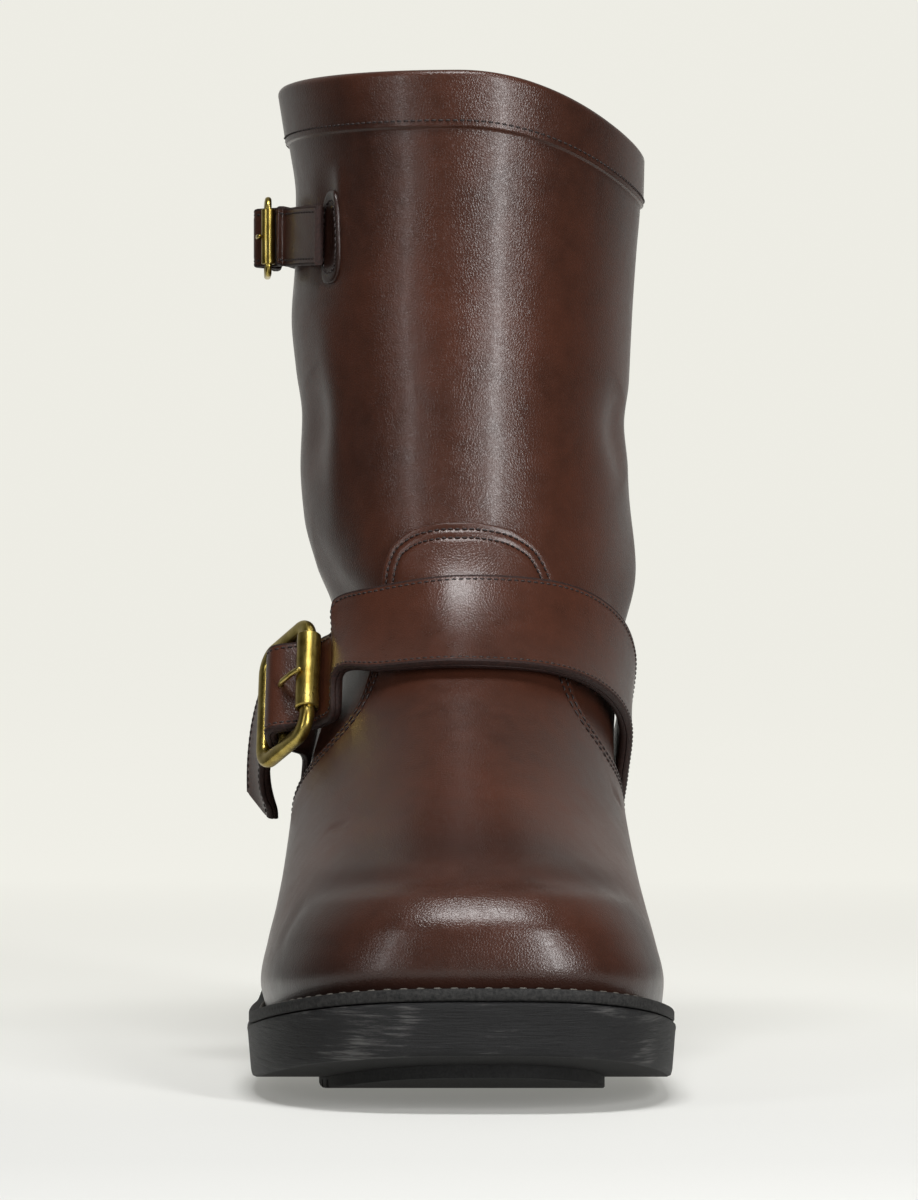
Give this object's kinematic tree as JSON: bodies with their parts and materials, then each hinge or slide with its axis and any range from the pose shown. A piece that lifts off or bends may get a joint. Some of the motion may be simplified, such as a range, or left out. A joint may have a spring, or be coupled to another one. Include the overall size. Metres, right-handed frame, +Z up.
{
  "type": "engineer boot",
  "caption": "Right-foot leather engineer boot with a mid-height pull-on shaft, a buckled instep strap, a small buckled strap at the top and a thick black welted sole.",
  "frame": {"origin": "on the floor under the middle of the boot's bounding box", "axes": "+Z up, toe towards -Y, inner (medial) side towards +X"},
  "size_m": [0.1156, 0.2896, 0.2705],
  "materials": {
    "sole_black": "matte, dressed black with a brushed edge",
    "heel_black": "matte, dressed black with a brushed edge",
    "welt_black": "matte black, stitched",
    "insole_leather": "natural, matte",
    "upper_leather": "waxed red-brown with fine grain, satin",
    "vamp_leather": "waxed red-brown with fine grain, satin",
    "strap_leather": "waxed red-brown with a dark painted edge, satin",
    "brass": "antique brass, brushed"
  },
  "bodies": {
    "root": {"outsole": "sole_black", "heel": "heel_black", "welt": "welt_black", "insole": "insole_leather", "upper": "upper_leather", "vamp": "vamp_leather", "instep_strap": "strap_leather", "instep_chape": "strap_leather", "instep_buckle": "brass", "instep_roller": "brass", "instep_prong": "brass", "top_strap": "strap_leather", "top_chape": "strap_leather", "top_buckle": "brass", "top_roller": "brass", "top_prong": "brass"}
  },
  "joints": []
}
